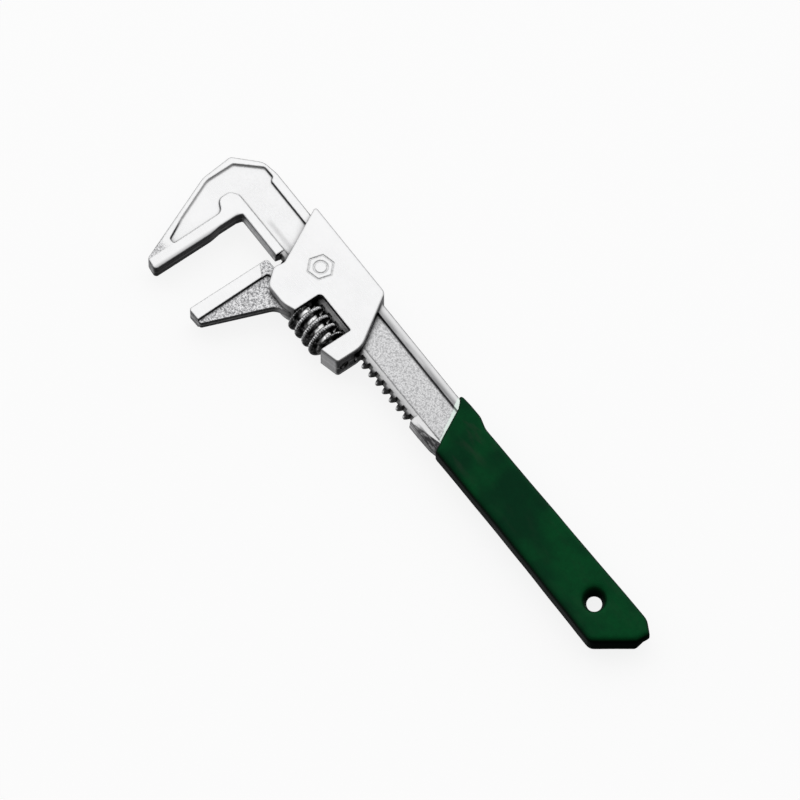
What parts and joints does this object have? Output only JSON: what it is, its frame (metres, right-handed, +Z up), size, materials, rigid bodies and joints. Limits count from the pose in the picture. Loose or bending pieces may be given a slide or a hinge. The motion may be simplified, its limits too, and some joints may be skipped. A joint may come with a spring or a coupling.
{
  "type": "fire hydrant wrench",
  "caption": "Adjustable wrench: steel bar with a fixed hook jaw and a rack, a sliding jaw moved along it by a worm, and a plastic-dipped grip with a hang hole.",
  "frame": {"origin": "centre of the fixed jaw's gripping face", "axes": "+X out of the fixed jaw's face and along the bar towards the grip, which is the way the sliding jaw opens; the jaws reach towards -Y; +Z up through the flat of the wrench"},
  "size_m": [0.3498, 0.0877, 0.0198],
  "materials": {
    "forged_steel": "forged and plated, satin on the ground rims, grainy in the sunk panels",
    "plated_steel": "plated, finely blasted satin",
    "worm_steel": "turned, with bright worn crests",
    "pin_steel": "turned",
    "spring_wire": "drawn wire",
    "dipped_vinyl": "soft dipped vinyl, satin dark green"
  },
  "bodies": {
    "bar": {"bar": "forged_steel", "grip": "dipped_vinyl"},
    "sliding_jaw": {"sliding_jaw": "plated_steel", "worm_pin": "pin_steel", "worm_spring": "spring_wire"},
    "worm": {"worm": "worm_steel"}
  },
  "joints": [
    {"name": "jaw_slide", "type": "slide", "parent": "bar", "child": "sliding_jaw", "axis": [1, 0, 0], "range_m": [-0.0282, 0.059]},
    {"name": "worm_turn", "type": "hinge", "parent": "sliding_jaw", "child": "worm", "pos_m": [0.07545, 0.02005, 0], "axis": [1, 0, 0], "range_deg": [-1693, 3541]}
  ],
  "couplings": [
    {"joint": "worm_turn", "follows": "jaw_slide", "rad_per_m": 1047.2}
  ]
}
